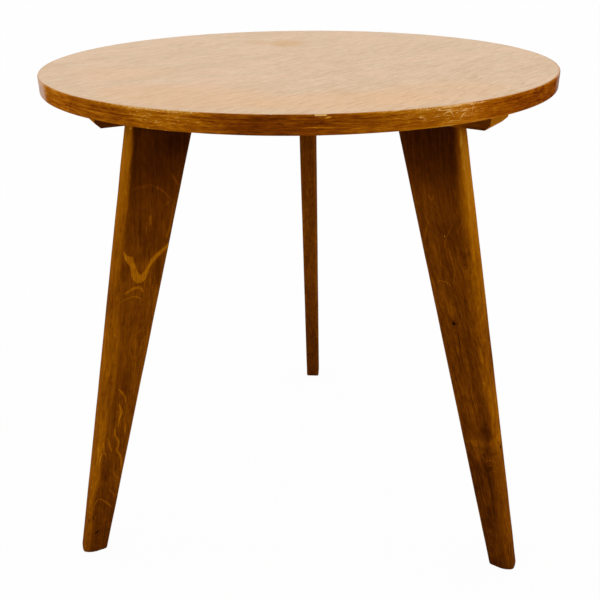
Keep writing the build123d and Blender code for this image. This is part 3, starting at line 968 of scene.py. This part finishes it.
def bandMaterial(look):
    material, board = newMaterial("edge_band_stain")
    x, y, height = board.parts(millimetres(board))
    angle = board.calc("ARCTAN2", x, board.product(y, -1.0))  # 0 at the front, its seam at the back
    degrees = board.calc("DEGREES", angle)
    outer = topRadius / mm
    run = board.product(angle, outer)
    radius = board.calc("SQRT", board.total(board.product(x, x), board.product(y, y)))
    down = board.minus(topHeight / mm, height)
    up = board.minus(height, topLow.z / mm)
    tilted = board.calc("MULTIPLY_ADD", run, look["grainSlope"], height)
    grain = board.clouds(board.joined(tilted, radius, run), look["clouds"])
    crumble = board.cloud(board.joined(run, height, radius), *look["crumble"])
    pores = board.soft(grain["pore"], *look["poreSpan"])

    # the stain swings with the grain; both arrises are lighter, partly worn and partly painted highlight, and
    # the pale flecks are partly painted glints
    ragged = board.swing(grain["patch"], look["raggedSwing"])
    upper = board.soft(board.total(down, ragged), *look["upperFade"])
    upper = board.product(upper, board.soft(crumble, *look["crumbled"]))
    lower = board.soft(board.total(up, ragged), *look["lowerFade"])
    flecks = board.soft(grain["hair"], *look["fleckSpan"])
    flecks = board.product(flecks, board.soft(down, *look["fleckFade"]))
    # the level by place round the band is partly real stain and partly painted light
    level = board.total(
        board.along(degrees, look, "level"),
        board.product(upper, board.along(degrees, look, "wornArrisAndHighlight")),
        board.product(lower, board.along(degrees, look, "wornLowerAndHighlight")),
        *board.swings(grain, look["swings"]),
        board.product(pores, look["poreDepth"]),
        board.product(flecks, board.along(degrees, look, "flecks")),
    )
    perDegree = math.radians(outer)
    marks = []
    # the pale marks are partly wear and partly painted glints
    for strength, half, line in look["marks"]:
        line = [(turn * perDegree, below) for turn, below in line]
        marks.append((strength, board.trail(run, down, abs(strength), half, line)))
    light, dark = board.lightAndDark(marks)
    level = board.total(level, light, board.product(dark, -1.0))
    colour = board.ramp(level, look["depths"])
    colour = board.mix(board.along(degrees, look, "redder"), colour, look["redTint"], "MULTIPLY")

    bare = []
    turnBlur, swing, blur = look["bareEdge"]
    low, high, share = look["bareSure"]
    for start, end, below, sure in look["bare"]:
        first = board.soft(degrees, start - turnBlur, start + turnBlur)
        last = board.soft(degrees, end + turnBlur, end - turnBlur)
        deep = board.soft(board.total(down, board.swing(crumble, swing)), below + blur, below - blur)
        kept = board.soft(crumble, low - sure * share, high - sure * share)
        bare.append(board.product(first, last, deep, kept))
    colour = board.mix(board.highest(*bare), colour, look["bareWood"])

    # the band's flat top was sanded flush and stayed as pale as the veneer
    swing, inwardFade, downFade, fibres = look["flush"]
    inward = board.minus(outer, board.total(radius, board.swing(crumble, swing)))
    flush = board.product(board.soft(inward, *inwardFade), board.soft(down, *downFade))
    pale = board.mix(board.soft(grain["fibre"], *fibres), look["flatTop"], look["flatTopDeep"])
    colour = board.mix(flush, colour, pale)
    satin = {**look["satin"], "Coat Weight": board.along(degrees, look, "shine")}
    roughness = board.remap(grain["streak"], *look["roughness"])
    board.finish(colour, roughness, board.bump(pores, *look["relief"]), satin)
    return material


buildBand(bandShape)
print("edge band made")


# Top veneer: pale oak under satin varnish
veneerLook = {
    "grainTurn": 55.0,
    "straight": {  # size in millimetres across, through and along the grain, as for stainedOak
        "patch": ((45, 45, 90), 3.0, 0.5, 0.6),
        "bend": ((70, 70, 190), 1.0, 0.4),
        "mottle": ((5, 6, 9), 2.0, 0.65),
    },
    "bent": {
        "streak": ((5.5, 6, 190), 3.0, 0.62, 0.4),
        "line": ((2.3, 3, 75), 2.0, 0.6, 0.2),
        "pore": ((1.0, 3, 11), 1.0),
        "dash": ((3.2, 3, 30), 2.0, 0.6),
    },
    "bendSwing": 22.0,
    "swings": {"patch": 0.35, "streak": 0.60, "mottle": 0.72, "line": 0.5},
    "rosyPatch": (0.45, 0.65, 0.0, 0.3),
    "lightDash": (0.46, 0.37, 0.0, 0.32),
    "darkDash": (0.55, 0.64, 0.0, 0.35),
    "poreSpan": (0.56, 0.72),
    "poreStreak": (0.35, 0.65, 0.4, 1.0),
    "poreShare": 0.5,
    "roughness": (0.7, 1.3, 0.36, 0.46),
    "relief": (0.08, -0.12),
    "tones": [
        (0.3, tone(209, 166, 116)), (0.44, tone(215, 177, 132)), (0.56, tone(220, 184, 144)),
        (0.7, tone(228, 197, 161)),
    ],
    "pore": tone(184, 130, 76),
    "light": tone(230, 203, 170),
    "warm": tone(232, 176, 116),
    "rosy": tone(232, 180, 138),
    "scratch": tone(244, 226, 204),
    "ochre": tone(212, 162, 96),
    "stains": [  # colour, strength, place and size in millimetres from the axis, turn
        ("ochre", 0.5, (-68, 162), (20, 38), 8), ("ochre", 0.9, (-27, 152), (30, 46), 4),
        ("warm", 0.45, (65, -240), (120, 55), 8), ("warm", 0.45, (-90, -220), (120, 65), -20),
        ("warm", 0.30, (150, -190), (100, 60), 30), ("warm", 0.22, (-190, -90), (80, 60), 0),
    ],
    "specks": [
        (0.5, (-224, -105), (2.2, 1.6)), (0.5, (-150, 157), (7, 3.5), 10),
        (0.4, (141, 69), (2.0, 3.0)), (0.4, (141.5, 43), (2.0, 3.0)),
    ],
    "scratches": [(0.5, 0.5, [(163, -40.6), (169, -41.4), (176, -41.2)])],
    "satin": {"Specular IOR Level": 0.27},
}


def veneerMaterial(look):
    material, board = newMaterial("top_veneer_oak")
    x, y = board.parts(turnedPlace(board, 0.0))[:2]
    along, across, height = board.parts(turnedPlace(board, look["grainTurn"]))
    grain = board.clouds(board.joined(across, height, along), look["straight"])
    bend = board.swing(grain["bend"], look["bendSwing"])
    grain.update(board.clouds(board.joined(board.total(across, bend), height, along), look["bent"]))
    colour = board.ramp(board.total(0.5, *board.swings(grain, look["swings"])), look["tones"])
    colour = board.mix(board.soft(grain["patch"], *look["rosyPatch"]), colour, look["rosy"])
    colour = board.mix(board.soft(grain["dash"], *look["lightDash"]), colour, look["light"])
    for kind, strength, *oval in look["stains"]:
        colour = board.mix(board.product(board.spot(x, y, *oval), strength), colour, look[kind])
    pores = board.soft(grain["pore"], *look["poreSpan"])
    pores = board.product(pores, board.soft(grain["streak"], *look["poreStreak"]))
    colour = board.mix(board.product(pores, look["poreShare"]), colour, look["pore"])
    colour = board.mix(board.soft(grain["dash"], *look["darkDash"]), colour, look["pore"])
    for strength, *oval in look["specks"]:
        colour = board.mix(board.product(board.spot(x, y, *oval), strength), colour, look["pore"])
    for strength, half, points in look["scratches"]:
        colour = board.mix(board.trail(x, y, strength, half, points), colour, look["scratch"])
    roughness = board.remap(board.total(grain["streak"], grain["mottle"]), *look["roughness"])
    board.finish(colour, roughness, board.bump(pores, *look["relief"]), look["satin"])
    return material


dress("top_veneer", veneerMaterial(veneerLook))
print("top veneer finished")


# Rails under the top
railLook = {
    "seeds": {"rear": (0.0, 1.0, 2.0), "left": (3.0, 1.0, 2.0), "right": (6.0, 1.0, 2.0)},
    "side": {"rear": 0.36, "left": 0.32, "right": 0.41},
    "lively": 0.8,  # how much of the grain's swing the sides and the end keep
    "endLively": 0.6,
    "end": 0.70,
    "endStarts": (248.9, 249.3),  # millimetres from the axis, where the end's chamfer begins
    "halfWidth": 26.0,
    "endEdge": (0.05, 0.4),  # millimetres in from the rail's sides
    "shaded": (18, 4, 0.0, -0.05),  # painted shade: how much darker the side is painted right under the top
    "patchCore": 0.2,  # the share of a patch's reach that is at full strength
    "roughness": (0.3, 0.7, 0.42, 0.58),
    "relief": (0.1, -0.5),
    # strength, millimetres from the axis, reach
    "patches": {"rear": [], "left": [(0.03, 222, 10)], "right": [(0.13, 217, 16)]},
}


def railMaterial(name, azimuth, look):
    material, board = newMaterial("rail_" + name + "_stain")
    radial, side, height = board.parts(turnedPlace(board, azimuth))
    grain, pores, swing = stainedGrain(board, board.joined(side, height, radial), look["seeds"][name])
    # painted shade on the side right under the top
    shaded = board.soft(board.minus(topLow.z / mm, height), *look["shaded"])
    level = board.total(look["side"][name], board.product(swing, look["lively"]), shaded)
    for strength, place, reach in look["patches"][name]:
        away = board.size(board.minus(radial, place))
        level = board.total(level, board.soft(away, reach, reach * look["patchCore"], 0.0, strength))
    inside = board.minus(look["halfWidth"], board.size(side))
    end = board.product(board.soft(radial, *look["endStarts"]), board.soft(inside, *look["endEdge"]))
    change = board.total(board.minus(look["end"], level), board.product(swing, look["endLively"]))
    colour = board.ramp(board.total(level, board.product(end, change)), stainedOak["depths"])
    roughness = board.remap(grain["fibre"], *look["roughness"])
    board.finish(colour, roughness, board.bump(pores, *look["relief"]), stainedOak["satin"])
    return material


for armName, armAzimuth in legAzimuths.items():
    dress("rail_" + armName, railMaterial(armName, armAzimuth, railLook))
print("rails finished")


# Hidden and underside parts: balancing veneer, board core, dowels and screws
rawLook = {  # tones from deep to pale, and the size of the streaks across, through and along the grain
    "veneer": {
        "tones": [(0.3, tone(158, 116, 74)), (0.5, tone(174, 130, 84)), (0.7, tone(190, 146, 98))],
        "streak": (9, 9, 160),
        "azimuth": 40.0,
    },
    "core": {
        "tones": [(0.3, tone(168, 132, 92)), (0.5, tone(190, 154, 112)), (0.7, tone(206, 174, 132))],
        "streak": (6, 6, 60),
        "azimuth": 130.0,
    },
    "dowel": {
        "tones": [(0.3, tone(196, 154, 108)), (0.5, tone(212, 172, 126)), (0.7, tone(224, 188, 146))],
        "streak": (1.6, 1.6, 30),
    },
    "noise": {  # size as a share of the streaks', then detail, roughness and wobble
        "streak": (1.0, 3.0, 0.6, 0.3),
        "fibre": (0.2, 2.0, 0.6),
    },
    "blend": {"streak": 0.7, "fibre": 0.3},
    "poreCloud": ((0.7, 0.7, 11), 1.0),
    "poreSpan": (0.6, 0.74),
    "poreShare": 0.5,
    "pore": tone(112, 74, 42),
    "roughness": (0.3, 0.7, 0.62, 0.8),
    "relief": (0.15, 0.5),
    "satin": {"Specular IOR Level": 0.2},
}

screwLook = {
    "turning": ((1, 1, 0.35), 2.0, 0.6),
    "turningSlope": 0.02,  # how little the turning marks change round the screw
    "tarnish": ((2.2, 2.2, 2.2), 3.0, 0.6),
    "tarnished": (0.45, 0.7),
    "steel": tone(168, 164, 158),
    "brown": tone(112, 98, 84),
    "roughness": (0.3, 0.7, 0.26, 0.36),
    "tarnishRoughness": 0.25,
    "relief": (0.02, 0.4),
    "satin": {"Metallic": 1.0},
}


def rawWood(name, kind, azimuth, look):
    # unfinished wood with its grain along the given azimuth
    material, board = newMaterial(name)
    along, across, height = board.parts(turnedPlace(board, azimuth))
    place = board.joined(across, height, along)
    grain = {}
    for part, (share, *noiseLook) in look["noise"].items():
        grain[part] = board.cloud(place, tuple(size * share for size in look[kind]["streak"]), *noiseLook)
    pores = board.soft(board.cloud(place, *look["poreCloud"]), *look["poreSpan"])
    shade = board.total(*(board.product(grain[part], share) for part, share in look["blend"].items()))
    colour = board.ramp(shade, look[kind]["tones"])
    colour = board.mix(board.product(pores, look["poreShare"]), colour, look["pore"])
    relief = board.bump(board.minus(grain["fibre"], pores), *look["relief"])
    board.finish(colour, board.remap(grain["fibre"], *look["roughness"]), relief, look["satin"])
    return material


def screwMaterial(look):
    # plain steel with turning marks and a little tarnish
    material, board = newMaterial("screw_steel_plain")
    place = millimetres(board)
    x, y, height = board.parts(place)
    x, y = (board.product(side, look["turningSlope"]) for side in (x, y))
    turned = board.cloud(board.joined(x, y, height), *look["turning"])
    tarnish = board.soft(board.cloud(place, *look["tarnish"]), *look["tarnished"])
    colour = board.mix(tarnish, look["steel"], look["brown"])
    roughness = board.remap(turned, *look["roughness"])
    roughness = board.total(roughness, board.product(tarnish, look["tarnishRoughness"]))
    board.finish(colour, roughness, board.bump(turned, *look["relief"]), look["satin"])
    return material


underTurn, coreTurn = rawLook["veneer"]["azimuth"], rawLook["core"]["azimuth"]
dress("underside_veneer", rawWood("underside_veneer_wood", "veneer", underTurn, rawLook))
dress("top_core", rawWood("board_core_wood", "core", coreTurn, rawLook))
screwSteel = screwMaterial(screwLook)
for armName, armAzimuth in legAzimuths.items():
    dress("dowels_" + armName, rawWood("dowel_" + armName + "_beech", "dowel", armAzimuth, rawLook))
    dress("leg_screw_" + armName, screwSteel)
    dress("rail_screws_" + armName, screwSteel)
print("underside and fixings finished")
